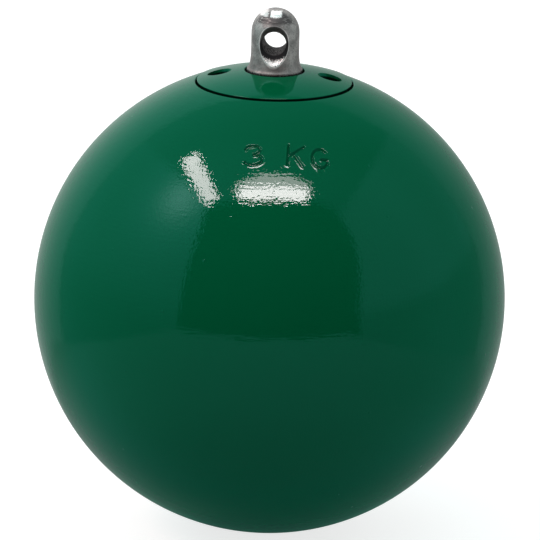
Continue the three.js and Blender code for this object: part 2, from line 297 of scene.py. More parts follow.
def coordinates(mesh):
    """A mesh's vertices as an array."""
    flat = np.empty(len(mesh.vertices) * 3)
    mesh.vertices.foreach_get("co", flat)
    return flat.reshape(-1, 3)


centre = np.array([0.0, 0.0, ball_centre])
spots = coordinates(ball.data)
reach = np.linalg.norm(spots - centre, axis=1)
directions = (spots - centre) / np.maximum(reach, no_zero)[:, None]
places = on_mark(directions)
near_mark = (np.abs(reach - ball_radius) < on_surface) & (directions[:, 1] < 0)
near_mark &= np.abs(places[:, 0] - mark_middle) < mark_half_width
near_mark &= np.abs(places[:, 1]) < mark_half_height
heights = pressed(places[near_mark]) * mm
spots[near_mark] += directions[near_mark] * heights[:, None]
ball.data.vertices.foreach_set("co", spots.ravel())
softened(ball)
print(int(near_mark.sum()), "vertices in and round the mark")

# %% [markdown]
# ## Perfectly round paint
#
# Gloss shows every facet, because smooth shading blends the normals of flat faces, and those are
# never quite a sphere's. A finer mesh would hide that slowly. The exact normal of a sphere is
# known at every corner, so it is simply set there, and only the dented mark keeps its own.

# %% Give the ball a sphere's own normals
sphere_slack = 2e-6
least_match = 0.995
dent_slack = 1e-4


def rounded_normals(piece, middle, radius, dented=None):
    """Exact sphere normals for the loops on a sphere, so that its gloss shows no facets."""
    mesh = piece.data
    where = coordinates(mesh) - middle
    far = np.linalg.norm(where, axis=1)
    on_sphere = np.abs(far - radius) < sphere_slack
    if dented is not None:
        on_sphere &= ~dented
    corners = np.empty(len(mesh.loops) * 3)
    mesh.corner_normals.foreach_get("vector", corners)
    corners = corners.reshape(-1, 3)
    vertex_of = np.empty(len(mesh.loops), int)
    mesh.loops.foreach_get("vertex_index", vertex_of)
    face_normals = np.empty(len(mesh.polygons) * 3)
    mesh.polygons.foreach_get("normal", face_normals)
    face_normals = face_normals.reshape(-1, 3)
    counts = np.empty(len(mesh.polygons), int)
    mesh.polygons.foreach_get("loop_total", counts)
    own_face = np.repeat(face_normals, counts, axis=0)
    radial = where[vertex_of] / np.maximum(far[vertex_of], no_zero)[:, None]
    facing = np.einsum("ij,ij->i", own_face, radial) > least_match
    use = on_sphere[vertex_of] & facing
    corners[use] = radial[use]
    mesh.normals_split_custom_set(corners.tolist())
    return int(use.sum())


dented = near_mark & (np.abs(pressed(places)) > dent_slack)
print(rounded_normals(ball, centre, ball_radius, dented), "normals set on the ball")
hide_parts("ball_shell")
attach(ball, "head")

# %% [markdown]
# ## The plug
#
# A steel disc screws into the mouth and carries on the ball's curve. Two blind holes take the
# pins of a spanner, and a round recess takes the swivel's foot. It is spun like the ball, with
# the same kind of bead at its rim, and a Boolean modifier cuts the two holes. Each drill is
# shaped with a cone above its shaft, which leaves a small bevel where the paint thins.

# %% Spin the plug
plug_bead = 0.12 * mm
recess_radius = 6.0 * mm
recess_floor = crown - 3.2 * mm
recess_bevel = 0.16 * mm
plug_bottom = 79.405 * mm
plug_chamfer = 1 * mm
roof = recess_floor - 6 * mm
bush_hole_radius = 5.2 * mm
bearing_pocket_radius = 9.55 * mm
dome_rings = 22
plug_spokes = 192


def dome_height(radius):
    """The height of the plug's dome at a radius."""
    return ball_centre + math.sqrt(dome_radius ** 2 - radius ** 2)


rim = plug_radius - plug_bead
rim_height = dome_height(rim)
recess_rim = recess_radius + recess_bevel
recess_height = dome_height(recess_rim)
dome = [(r, dome_height(r)) for r in np.linspace(rim, recess_rim, dome_rings)]
plug_edge = [
    (
        plug_radius - plug_bead * (1 - math.sin(t)),
        rim_height - plug_bead * bead_drop * (1 - math.cos(t)),
    )
    for t in bead_turns[::-1]
]
recess_edge = [
    (
        recess_radius + recess_bevel * (1 - math.sin(t)),
        recess_height - recess_bevel * (1 - math.cos(t)),
    )
    for t in np.radians(np.linspace(15, 90, 5))
]
plug_outline = [
    (bush_hole_radius, roof),
    (bearing_pocket_radius, roof),
    (bearing_pocket_radius, plug_bottom),
    (plug_radius - plug_chamfer, plug_bottom),
    (plug_radius, plug_bottom + plug_chamfer),
    *plug_edge,
    *dome,
    *recess_edge,
    (recess_radius, recess_floor),
    (bush_hole_radius, recess_floor),
]
plug = spun("plug", plug_outline, even_angles(plug_spokes))
print("the plug has", len(plug.data.polygons), "faces")

# %% Drill its spanner holes
spanner_circle = 11.35 * mm
spanner_turn = math.radians(-2.6)
spanner_radius = 2.15 * mm
spanner_bevel = 0.5 * mm
bevel_start = dome_height(spanner_circle) - 0.35 * mm
bevel_end = dome_height(spanner_circle) + 0.55 * mm
hole_bottom = crown - 5 * mm
drill_tip = 1.2 * mm
above_crown = crown + 1 * mm
drill_spokes = 64


def settled(piece):
    """A piece's modifiers turned into its mesh."""
    bpy.context.view_layer.update()
    evaluated = piece.evaluated_get(bpy.context.evaluated_depsgraph_get())
    made = bpy.data.meshes.new_from_object(evaluated)
    piece.modifiers.clear()
    piece.data = made


def cut_away(piece, cutters):
    """Boolean cuts, applied at once, with the cutters removed afterwards."""
    for cutter in cutters:
        modifier = piece.modifiers.new("cut", "BOOLEAN")
        modifier.operation = "DIFFERENCE"
        modifier.solver = "EXACT"
        modifier.object = cutter
    settled(piece)
    for cutter in cutters:
        bpy.data.objects.remove(cutter)


drill_outline = [
    (0, hole_bottom - drill_tip),
    (spanner_radius, hole_bottom),
    (spanner_radius, bevel_start),
    (spanner_radius + spanner_bevel, bevel_end),
    (spanner_radius + spanner_bevel, above_crown),
    (0, above_crown),
]
drills = []
for across in (-spanner_circle, spanner_circle):
    drill = spun("drill", drill_outline, even_angles(drill_spokes))
    drill.location = (across * math.cos(spanner_turn), across * math.sin(spanner_turn), 0)
    drills.append(drill)
cut_away(plug, drills)
softened(plug, 30)
print(rounded_normals(plug, centre, dome_radius), "normals set on the plug")
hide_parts("screw_plug")
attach(plug, "head")

# %% [markdown]
# ## The swivel
#
# The swivel is one forging: a round-topped stem with a cross hole for the wire, a flared foot,
# and a shank that runs down through the bearing. The hole is countersunk from both ends, so its
# cutter is a rod that widens into a cone at each end.

# %% Spin and drill the swivel
stem_radius = 4.81 * mm
foot_radius = 5.58 * mm
foot_level = 94.155 * mm
foot_chamfer = 0.3 * mm
flare_top = 98.7 * mm
flare_height = 3.6 * mm
dome_level = 102.605 * mm
shank_radius = 4 * mm
shank_chamfer = 0.8 * mm
spindle_end = 66.555 * mm
eye_level = 100.905 * mm
eye_radius = 2.375 * mm
eye_throat = 3.6 * mm
eye_slope = 1.45
eye_reach = 7 * mm
pin_level = 69.905 * mm
pin_hole_radius = 1.15 * mm
pin_reach = 6 * mm

flare = [
    (
        foot_radius - (foot_radius - stem_radius) * math.sin(t),
        flare_top - flare_height * math.cos(t),
    )
    for t in np.radians(np.linspace(0, 90, 9))
]
stem_dome = bow(stem_radius, 0, 90, 16, up=dome_level)
stem_dome[-1] = (0, dome_level + stem_radius)
swivel_outline = [
    (0, spindle_end),
    (shank_radius - shank_chamfer, spindle_end),
    (shank_radius, spindle_end + shank_chamfer),
    (shank_radius, foot_level),
    (foot_radius - foot_chamfer, foot_level),
    (foot_radius, foot_level + foot_chamfer),
    *flare,
    *stem_dome,
]
swivel = spun("swivel", swivel_outline, even_angles(96))
eye_half = [
    (0, -eye_reach),
    (eye_radius + eye_slope * (eye_reach - eye_throat), -eye_reach),
    (eye_radius, -eye_throat),
]
eye_outline = eye_half + [(r, -z) for r, z in reversed(eye_half)]
eye_cutter = spun("eye cutter", eye_outline, even_angles(72))
eye_cutter.rotation_euler = (math.pi / 2, 0, 0)
eye_cutter.location = (0, 0, eye_level)
pin_outline = [
    (0, -pin_reach),
    (pin_hole_radius, -pin_reach),
    (pin_hole_radius, pin_reach),
    (0, pin_reach),
]
pin_cutter = spun("pin cutter", pin_outline, even_angles(32))
pin_cutter.rotation_euler = (0, math.pi / 2, 0)
pin_cutter.location = (0, 0, pin_level)
cut_away(swivel, [eye_cutter, pin_cutter])
print("the drilled swivel has", len(swivel.data.polygons), "faces")

# %% [markdown]
# ## Its worn edges
#
# Years of wire have rounded the swivel's edges. A Bevel modifier can't follow the saddle-shaped
# edge where the hole meets the stem. So the cut mesh is remeshed into small even squares and
# smoothed a few times, which takes the sharpness off every edge by the same little amount.

# %% Remesh the swivel and round its edges
worn_cell = 0.15 * mm
worn_passes = 4


def worn_round(piece):
    """Even small squares, smoothed, so that every edge loses its sharpness."""
    remesh = piece.modifiers.new("even", "REMESH")
    remesh.mode = "VOXEL"
    remesh.voxel_size = worn_cell
    remesh.use_smooth_shade = True
    smooth = piece.modifiers.new("worn", "SMOOTH")
    smooth.factor = 0.5
    smooth.iterations = worn_passes
    settled(piece)


worn_round(swivel)
swivel.data.shade_smooth()
print("the worn swivel has", len(swivel.data.polygons), "faces")
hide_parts("swivel_spindle")
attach(swivel, "swivel")

# %% [markdown]
# ## Shader arithmetic
#
# Every finish is a small sum of noises and masks. Writing those sums as Python expressions is
# easier to read than wiring Math nodes one at a time. A Wire stands for one output socket.
# Adding, subtracting or multiplying it adds the Math node for it, and its node method adds any
# other node to the same tree.

# %% A wire that can be added and multiplied
class Wire:
    """One output of a shader node, or a bare tree for the first node to start from."""

    def __init__(self, tree, socket=None):
        self.tree = tree
        self.socket = socket

    def node(self, kind, settings=None, sockets=None, output=0):
        """A new node: its settings first and then its sockets, as a wire from one output."""
        made = self.tree.nodes.new("ShaderNode" + kind)
        for name, value in (settings or {}).items():
            setattr(made, name, value)
        for name, value in (sockets or {}).items():
            if isinstance(value, Wire):
                self.tree.links.new(value.socket, made.inputs[name])
            else:
                made.inputs[name].default_value = value
        return Wire(self.tree, made.outputs[output]) if made.outputs else None

    def beside(self, output):
        """Another output of the same node."""
        return Wire(self.tree, self.socket.node.outputs[output])

    def math(self, operation, *others):
        """One Math node, whose first value is this wire."""
        return self.node("Math", {"operation": operation}, dict(enumerate((self, *others))))

    def __add__(self, other):
        return self.math("ADD", other)

    def __sub__(self, other):
        return self.math("SUBTRACT", other)

    def __rsub__(self, other):
        return self.node("Math", {"operation": "SUBTRACT"}, {0: other, 1: self})

    def __mul__(self, other):
        return self.math("MULTIPLY", other)

    __radd__ = __add__
    __rmul__ = __mul__


print("wires ready")

# %% [markdown]
# ## The few nodes that every finish needs
#
# A finish reads the piece's own coordinates, so its grain keeps its size in millimetres and moves
# with the piece. Noise makes the grain, a soft step turns a distance into a mask, a mix lays one
# colour over another by a mask, and a bump tilts the surface by a height.

# %% Helpers that every finish uses
def new_finish(name):
    """An empty material, and the piece's own coordinates in metres."""
    material = bpy.data.materials.new(name)
    material.use_nodes = True
    material.node_tree.nodes.clear()
    return material, Wire(material.node_tree).node("TexCoord", output="Object")


def parted(place):
    """The three parts of a vector."""
    x = place.node("SeparateXYZ", {}, {0: place})
    return x, x.beside(1), x.beside(2)


def grain(place, size, detail=2.0, roughness=0.5, stretch=(1, 1, 1)):
    """Smooth noise from 0 to 1 with features about so many metres across."""
    scaled = place.node("Mapping", {"vector_type": "POINT"}, {"Vector": place, "Scale": stretch})
    sockets = {"Vector": scaled, "Scale": 1 / size, "Detail": detail, "Roughness": roughness}
    return place.node("TexNoise", {}, sockets)


def stepped(value, low, high):
    """0 below low, 1 above high, and a smooth rise between them."""
    sockets = {"Value": value, "From Min": low, "From Max": high}
    return value.node("MapRange", {"interpolation_type": "SMOOTHSTEP"}, sockets)


def mixed(share, first, second):
    """Two colours mixed by a share from 0 to 1."""
    return share.node("Mix", {"data_type": "RGBA"}, {0: share, 6: first, 7: second}, output=2)


def bumped(height, depth):
    """A normal tilted by a height, where a height of 1 stands for so many metres."""
    return height.node("Bump", {}, {"Strength": 1.0, "Distance": depth, "Height": height})


def dress(material, *pieces):
    """Put one material on some pieces, in place of what they have."""
    for piece in pieces:
        piece.data.materials.clear()
        piece.data.materials.append(material)


print("finish helpers ready")

# %% [markdown]
# ## The enamel's relief
#
# Gloss enamel lies over turned iron. The lathe's rings and some fine upright scratches still show
# through it, and the film has a faint orange peel, so the reflection of a lamp has streaky edges.
# Dust that fell in the wet paint left a few pimples. A displaced mesh would need millions of
# faces for this, so all of it is a bump, in hundredths of a millimetre.

# %% The relief of the paint
relief_depth = 0.022 * mm
dust_spacing = 7 * mm
pimple_edge = (0.02, 0.05)
plug_relief = 0.25
plug_start = (91.6 * mm, 92.4 * mm)


def paint_relief(place):
    """Rings, scratches, orange peel and dust as a normal, fainter on the plug's dome."""
    rings = grain(place, 0.45 * mm, 1.5, 0.5, (0.09, 0.09, 1.0))
    scratches = grain(place, 0.45 * mm, 1.0, 0.5, (1.0, 1.0, 0.12))
    peel = grain(place, 1.9 * mm, 2.0, 0.5)
    tooth = grain(place, 0.5 * mm, 1.0, 0.5)
    sockets = {"Vector": place, "Scale": 1 / dust_spacing, "Randomness": 1.0}
    dust = place.node("TexVoronoi", {"feature": "F1"}, sockets)
    pimples = 1 - stepped(dust, *pimple_edge)
    height = rings * 0.7 + scratches * 0.6 + peel * 0.6 + tooth * 0.5 + pimples * 2.0
    on_plug = stepped(parted(place)[2], *plug_start)
    return bumped(height * (1 - on_plug * (1 - plug_relief)), relief_depth)


print("relief", relief_depth / mm, "mm deep")

# %% [markdown]
# ## Painted shade where the paint is dark
#
# The seam round the plug, the spanner holes and the floors of the stamped letters get painted
# shade: a mask darkens their colour and takes down their gloss, where a recess would hold
# shadow. Their walls are painted too, and a mirror down there would shine. The distance to the
# ball's centre says how deep a point lies, and the distance to its axis says whether it is in
# the seam, so the mask that darkens and dulls them needs no painting by hand.

# %% Painted shade in the seam and the holes
hole_shade = (ball_radius - 0.5 * mm, ball_radius - 0.16 * mm)
seam_inside = (plug_radius - 0.1 * mm, plug_radius - 0.05 * mm)
seam_outside = (mouth_radius + 0.04 * mm, mouth_radius + 0.12 * mm)
seam_top = (dome_radius - 0.1 * mm, dome_radius - 0.04 * mm)


def painted_crevice_shade(place):
    """Painted shade: 1 in the seam and the holes, partly on the letters' floors, 0 on the open
    paint.
    """
    middle = (0.0, 0.0, ball_centre)
    sockets = {0: place, 1: middle}
    out = place.node("VectorMath", {"operation": "DISTANCE"}, sockets, output="Value")
    x, y = parted(place)[:2]
    from_axis = (x * x + y * y).math("SQRT")
    seam = stepped(from_axis, *seam_inside) * (1 - stepped(from_axis, *seam_outside))
    seam = seam * (1 - stepped(out, *seam_top))
    return (1 - stepped(out, *hole_shade)).math("MAXIMUM", seam)


print("seam", round((mouth_radius - plug_radius) / mm, 2), "mm wide")

# %% [markdown]
# ## The film over the colour
#
# A single Principled shader would give this paint a white gloss. Its real reflections are green
# in the middle of the ball and pale towards its outline, so two shaders share the work. One is
# the paint's matt colour. The other is a mirror whose tint pales as the surface turns away. A Mix
# Shader shows the mirror by the share of the light that a thin film reflects, which the Fresnel
# node works out.

# %% Mix the enamel
film_index = 1.247
film_roughness = 0.022
film_fade = 0.57
crevice_shade_fade = 0.9
green_low, green_high = (0.0002, 0.0755, 0.0281, 1), (0.0003, 0.0815, 0.0311, 1)
# The near black green of the painted shade in the seam, the holes and the letters.
shade_green = (0.0002, 0.004, 0.002, 1)
tint_facing, tint_aside = (0.2, 1.0, 0.97, 1), (0.7, 1.0, 0.97, 1)
tint_turn = (0.45, 0.9)
cloud_size = 22 * mm


def make_enamel():
    """The paint of the ball and the plug."""
    material, place = new_finish("green enamel")
    bump = paint_relief(place)
    crevice_shade = painted_crevice_shade(place)
    colour = mixed(grain(place, cloud_size), green_low, green_high)
    # Painted shade: the seam, the holes and the letters' floors are darkened towards near black.
    colour = mixed(crevice_shade, colour, shade_green)
    turned_away = place.node("LayerWeight", {}, {"Blend": 0.5}, output="Facing")
    body = place.node("BsdfPrincipled", {}, {
        "Base Color": colour,
        "Roughness": 0.5,
        "IOR": 1.0,
        "Normal": bump,
    })
    gloss = place.node("BsdfPrincipled", {}, {
        "Base Color": mixed(stepped(turned_away, *tint_turn), tint_facing, tint_aside),
        "Metallic": 1.0,
        "Roughness": film_roughness,
        "Normal": bump,
    })
    mirrored = place.node("Fresnel", {}, {"IOR": film_index, "Normal": bump})
    # Painted shade: the gloss is also taken away in the seam, the holes and the letters.
    share = mirrored * (1 - turned_away * film_fade) * (1 - crevice_shade * crevice_shade_fade)
    both = place.node("MixShader", {}, {0: share, 1: body, 2: gloss})
    both.node("OutputMaterial", {}, {"Surface": both})
    return material


dress(make_enamel(), ball, plug)
print("enamel on the ball and the plug")

# %% [markdown]
# ## Forged steel: the eye
#
# The swivel is bare steel. The wire rubs the bottom of its eye bright. The eye's cone and its
# hole are darkened, as painted shade with some grime in it. Painting those by hand would need an
# image, so each mask is worked out from the eye's own sizes: the distance from the hole's axis,
# the distance out from the middle, and the drop below it. A ragged noise is added to the
# distances, so that no edge is a clean line.

# %% Painted shade with grime, and bright metal in the eye
cone_start = (eye_throat - 0.2 * mm, eye_throat + 0.1 * mm)
cone_skin = (0.1 * mm, 0.3 * mm)
cone_bottom = (1.4 * mm, 2.6 * mm)
scraped_reach = (4.25 * mm, 4.4 * mm)
bare_reach = (4.1 * mm, 4.2 * mm)
eye_shade_level = (-1.5 * mm, 0.3 * mm)
hole_wall = (eye_radius + 0.1 * mm, eye_radius + 0.2 * mm)
fleck_edge = (0.42, 0.58)
lip_inside, lip_outside = (0.06 * mm, 0.2 * mm), (0.25 * mm, 0.5 * mm)
lip_start = (3.55 * mm, 3.7 * mm)


def eye_masks(place, ragged):
    """The painted shade and grime in the eye, the metal that the wire has scraped, and the rubbed
    lip.
    """
    x, y, z = parted(place)
    drop = z - eye_level
    from_eye = (x * x + drop * drop).math("SQRT")
    out = y.math("ABSOLUTE")
    in_cone = stepped(out, *cone_start)
    off_cone = from_eye - eye_radius - (out - eye_throat) * eye_slope
    cone = (1 - stepped(off_cone.math("ABSOLUTE"), *cone_skin)) * in_cone
    below = stepped(0 - drop, *cone_bottom)
    scraped = stepped(out + ragged, *scraped_reach) * below * cone
    bare = stepped(out + ragged * 0.6, *bare_reach) * below
    # Painted shade with some grime: the cone is darkened, most below the eye's middle.
    eye_shade_and_grime = cone * (1 - bare) * (0.5 + stepped(0 - drop, *eye_shade_level) * 0.5)
    # Painted shade: the wall of the hole is darkened, broken by lighter flecks.
    in_hole = (1 - stepped(from_eye, *hole_wall)) * (1 - in_cone)
    flecks = stepped(grain(place, 0.45 * mm, 3.0, 0.6), *fleck_edge)
    eye_shade_and_grime = eye_shade_and_grime.math("MAXIMUM", in_hole * (0.97 - flecks * 0.45))
    lip = stepped(off_cone, *lip_inside) * (1 - stepped(off_cone, *lip_outside))
    return eye_shade_and_grime, scraped, lip * stepped(out, *lip_start)


print("the eye is", round(2 * eye_radius / mm, 2), "mm across")

# %% [markdown]
# ## Forged steel: the crown
#
# Use has rubbed two small facets bright on the swivel's round top, one in front and one to the
# left, with dark scuffs under them. Cutting real facets would change the outline of the piece,
# which stays round here, so they are masks: bands of height, crossed by bands of width.

# %% Facets and scuffs on the crown
facet_low, facet_high = (106.0 * mm, 106.3 * mm), (107.05 * mm, 107.25 * mm)
front_middle, front_edge = 0.2 * mm, (1.0 * mm, 1.25 * mm)
left_middle, left_edge = -2.3 * mm, (0.7 * mm, 1.0 * mm)
scuff_level = (104.5 * mm, 105.2 * mm)
scuff_front = (1.0 * mm, 2.5 * mm)
scuff_edge = (0.3, 0.5)


def crown_masks(place, ragged):
    """The two polished facets, and the dark scuffs below them."""
    x, y, z = parted(place)
    level = z + ragged * 0.35
    band = stepped(level, *facet_low) * (1 - stepped(level, *facet_high))
    front_offset = (x + ragged * 0.5 - front_middle).math("ABSOLUTE")
    left_offset = (x + ragged - left_middle).math("ABSOLUTE")
    front = 1 - stepped(front_offset, *front_edge)
    left = 1 - stepped(left_offset, *left_edge)
    polished = band * front.math("MAXIMUM", left * 0.8)
    streaks = grain(place, 0.5 * mm, 2.0, 0.5, (0.25, 1.0, 1.6))
    scuffed = stepped(z, *scuff_level) * (1 - polished)
    scuffed = scuffed * stepped(streaks, *scuff_edge) * stepped(0 - y, *scuff_front)
    return polished, scuffed


print("the front facet is about", round(2 * front_edge[0] / mm, 1), "mm wide")

# %% [markdown]
# ## Forged steel: the whole finish
#
# Under that wear the steel is grey rather than mirror bright, with a fine tooth, small dents,
# dark specks and some darker skin left from the forge. The foot is darker, and where it sinks
# into the plug it is painted black, as shade in the gap between the parts. That painted shade,
# like the shade and grime in the eye, isn't metal, so it is a Diffuse shader that a Mix Shader
# lays over the steel.

# %% Make the forged steel
forged_relief = 0.03 * mm
ragged_reach = 1.6 * mm
sunk_shade_edge = (94.7 * mm, 95.0 * mm)
foot_shade = (95.6 * mm, 98.6 * mm)
skin_edge, speck_edge = (0.38, 0.66), (0.5, 0.68)
steel_grey, skin_grey = (0.31, 0.285, 0.276, 1), (0.197, 0.181, 0.177, 1)
foot_grey, speck_grey = (0.08, 0.074, 0.072, 1), (0.1, 0.1, 0.098, 1)
rubbed_bright = (0.7, 0.66, 0.65, 1)
scuff_black, shade_black = (0.05, 0.045, 0.046, 1), (0.018, 0.017, 0.019, 1)


def make_forged_steel():
    """The swivel's steel, with its wear, and its painted shade and grime."""
    material, place = new_finish("forged steel")
    z = parted(place)[2]
    tooth = grain(place, 0.24 * mm, 3.0, 0.65)
    dents = grain(place, 1.1 * mm, 2.0, 0.5)
    skin = grain(place, 1.9 * mm, 4.0, 0.65)
    specks = grain(place, 0.3 * mm, 1.0, 0.5)
    ragged = (tooth - 0.5) * ragged_reach
    eye_shade_and_grime, scraped, lip = eye_masks(place, ragged)
    polished, scuffed = crown_masks(place, ragged)
    # Painted shade: the foot's lower edge is black where it sinks into the plug's recess.
    sunk_shade = 1 - stepped(z + ragged * 1.1, *sunk_shade_edge)
    shade_with_grime = eye_shade_and_grime.math("MAXIMUM", sunk_shade)
    worn = scraped.math("MAXIMUM", polished).math("MAXIMUM", lip * 0.7)
    dark = stepped(skin, *skin_edge)
    foot = 1 - stepped(z, *foot_shade)
    colour = mixed(dark, steel_grey, skin_grey)
    colour = mixed(foot * 0.45, colour, foot_grey)
    colour = mixed(stepped(specks, *speck_edge) * 0.5, colour, speck_grey)
    colour = mixed(worn, colour, rubbed_bright)
    colour = mixed(scuffed * 0.9, colour, scuff_black)
    # Painted shade with grime: near black in the eye and round the sunk foot.
    colour = mixed(shade_with_grime, colour, shade_black)
    steel = place.node("BsdfPrincipled", {}, {
        "Base Color": colour,
        "Metallic": 1.0,
        "Roughness": 0.52 + dark * 0.1 - worn * 0.27,
        "Normal": bumped(tooth * 0.5 + dents * 1.6 + scraped * tooth * 4.0, forged_relief),
    })
    # A matt near black shader for the painted shade, laid over the steel by the Mix Shader.
    shade_diffuse = place.node("BsdfDiffuse", {}, {"Color": (0.02, 0.019, 0.02, 1)})
    both = place.node("MixShader", {}, {0: shade_with_grime * 0.85, 1: steel, 2: shade_diffuse})
    both.node("OutputMaterial", {}, {"Surface": both})
    return material


dress(make_forged_steel(), swivel)
print("steel on the swivel")

# %% [markdown]
# ## Finishes inside the head
#
# Nobody sees these pieces until the plug comes out, but they are real pieces with their own
# finishes: polished bearing steel, zinc plate, brass, bronze, lead and felt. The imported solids
# already have the right shapes, so they only get a material each, from one recipe with six
# rows of values.

# %% Make the inner finishes
def make_inner(name, bright, dull, rough, rough_spread, size, bump_depth, metallic=1.0):
    """A finish with a cloudy colour, a varying roughness and a fine bump."""
    material, place = new_finish(name)
    share = stepped(grain(place, size, 3.0, 0.6), 0.35, 0.7)
    shader = place.node("BsdfPrincipled", {}, {
        "Base Color": mixed(share, (*bright, 1), (*dull, 1)),
        "Metallic": metallic,
        "Roughness": rough + share * rough_spread,
        "Normal": bumped(grain(place, size * 0.18, 2.0, 0.5), bump_depth),
    })
    shader.node("OutputMaterial", {}, {"Surface": shader})
    return material


inner_rows = {
    "bearing_steel": (
        "bearing steel", (0.6, 0.61, 0.62), (0.5, 0.51, 0.52), 0.1, 0.1, 2 * mm, 0.002 * mm
    ),
    "plated_steel": (
        "zinc plate", (0.5, 0.48, 0.4), (0.36, 0.35, 0.31), 0.28, 0.16, 1.6 * mm, 0.008 * mm
    ),
    "cage_brass": (
        "cage brass", (0.6, 0.4, 0.14), (0.45, 0.28, 0.1), 0.25, 0.15, 1.5 * mm, 0.006 * mm
    ),
    "bush_bronze": (
        "bush bronze", (0.42, 0.23, 0.09), (0.28, 0.15, 0.06), 0.35, 0.15, 1.5 * mm, 0.01 * mm
    ),
    "poured_lead": (
        "poured lead", (0.22, 0.23, 0.25), (0.12, 0.125, 0.14), 0.5, 0.2, 6 * mm, 0.08 * mm
    ),
    "seal_felt": (
        "seal felt", (0.045, 0.042, 0.038), (0.02, 0.019, 0.018), 0.9, 0.08, 0.5 * mm, 0.12 * mm, 0.0
    ),
}
inner_finishes = {slot: make_inner(*row) for slot, row in inner_rows.items()}
slot_of = {s["node"]: s["material_slot"] for s in frame["record"]["subparts"]}
for node, piece in frame["nodes"].items():
    if slot_of[node] in inner_finishes:
        for slot in piece.material_slots:
            slot.material = inner_finishes[slot_of[node]]
print("inner finishes:", ", ".join(inner_finishes))

# %% [markdown]
# ## The paper
#
# The head stands on plain pale paper. A camera ray sees the paper's own light besides what falls
# on it, so the background comes out white while the ball keeps its soft shadow. The paint sees
# the paper as a mirror would, with painted shade under the ball, behind it and behind to its
# right, and a painted green bounce of the ball's colour close to it, and only as far as the
# edge of a table. Beyond that edge the mirror's rays pass through, and meet the room instead.

# %% Lay the paper
paper_size = 6.0
paper_squares = 8
paper_level = -0.2 * mm

paper_mesh = bpy.data.meshes.new("paper")
paper_grid = bmesh.new()
bmesh.ops.create_grid(
    paper_grid, x_segments=paper_squares, y_segments=paper_squares, size=paper_size
)
paper_grid.to_mesh(paper_mesh)
paper_grid.free()
paper = bpy.data.objects.new("paper", paper_mesh)
paper.location = (0, 0, paper_level)
bpy.context.scene.collection.objects.link(paper)
print("paper laid")

# %% Light the paper
paper_white = 0.76
paper_grey = 0.42
table_shine = 0.78
ball_shade = (-0.04, 0.11)
green_bounce_reach = (0.02, 0.05)
back_shade = (-0.03, 0.06)
right_shade, right_front = (0.05, 0.1), (-0.12, 0.0)
table_sides, table_slant = (0.160, 0.170), 0.62
table_front, table_back = (0.74, 0.78), (0.035, 0.075)


def make_paper():
    """White to the camera, a table with painted shade and painted green bounce to the paint, and
    grey to lamps.
    """
    material, place = new_finish("pale paper")
    camera_ray = place.node("LightPath", output="Is Camera Ray")
    seen = camera_ray + camera_ray.beside("Is Transmission Ray")
    mirrored = camera_ray.beside("Is Glossy Ray")
    reach = place.node("VectorMath", {"operation": "LENGTH"}, {0: place}, output="Value")
    x, y = parted(place)[:2]
    # Painted shade: in the paint's mirror the paper is darker under the ball, behind it and to its
    # right.
    shaded = stepped(reach, *ball_shade) * (table_shine - stepped(y, *back_shade) * 0.65)
    shaded = shaded * (1 - stepped(x, *right_shade) * stepped(y, *right_front) * 0.45)
    strength = seen * paper_white + mirrored * shaded
    # Painted light: close to the ball the mirrored paper is tinted green, a painted bounce of the
    # ball's colour.
    green_bounce = (1 - stepped(reach, *green_bounce_reach)) * mirrored
    tint = mixed(green_bounce, (1, 1, 1, 1), (0.25, 1.0, 0.75, 1))
    light = place.node("VectorMath", {"operation": "SCALE"}, {0: tint, "Scale": strength})
    own = place.node("Emission", {}, {"Color": light, "Strength": 1.0})
    lit = place.node("BsdfDiffuse", {}, {"Color": (paper_grey, paper_grey, paper_grey, 1)})
    both = place.node("AddShader", {}, {0: lit, 1: own})
    beyond = stepped(x.math("ABSOLUTE") + y * table_slant, *table_sides)
    beyond = beyond.math("MAXIMUM", stepped(0 - y, *table_front))
    beyond = beyond.math("MAXIMUM", stepped(y, *table_back))
    nothing = place.node("BsdfTransparent")
    table = place.node("MixShader", {}, {0: mirrored * beyond, 1: both, 2: nothing})
    table.node("OutputMaterial", {}, {"Surface": table})
    return material


paper_mesh.materials.append(make_paper())
print("paper lit")

# %% [markdown]
# ## The lamps
#
# A long lamp above and in front is the bright bar in the paint, and a narrow one at the left is
# the slanted streak. The paint's mirror is tinted where it shows them, so their own colour is
# tinted the other way, and the streaks come out white. Light linking keeps those lamps to the
# painted pieces, and plain white ones to the bare steel, much as a flag on a stand would. One
# wide soft lamp lights everything and shows in no gloss. Each size is given as the angle that
# the lamp fills, seen from the ball.

# %% A helper that hangs a lamp
def hang_lamp(
    name, direction, wide, high, radiance,
    distance=1.2, tilt=0.0, colour=(1, 1, 1), shape="RECTANGLE",
):
    """A flat lamp that faces the ball, its size given in degrees."""
    lamp = bpy.data.lights.new(name, "AREA")
    lamp.shape = shape
    lamp.size = 2 * distance * math.tan(math.radians(wide / 2))
    lamp.size_y = 2 * distance * math.tan(math.radians(high / 2))
    area = lamp.size * lamp.size_y * (math.pi / 4 if shape == "ELLIPSE" else 1)
    lamp.energy = radiance * math.pi * area
    lamp.color = colour
    holder = bpy.data.objects.new(name, lamp)
    towards = Vector(direction).normalized()
    spot = Vector((0, 0, ball_centre)) + towards * distance
    facing = towards.to_track_quat("Z", "Y").to_matrix().to_4x4()
    roll = Matrix.Rotation(math.radians(tilt), 4, "Z")
    holder.matrix_world = Matrix.Translation(spot) @ facing @ roll
    bpy.context.scene.collection.objects.link(holder)
    return holder


def only_on(pieces, lamp):
    """Let a lamp reach one collection of pieces alone, and only their gloss."""
    lamp.light_linking.receiver_collection = pieces
    lamp.visible_diffuse = False


print("lamp helpers ready")

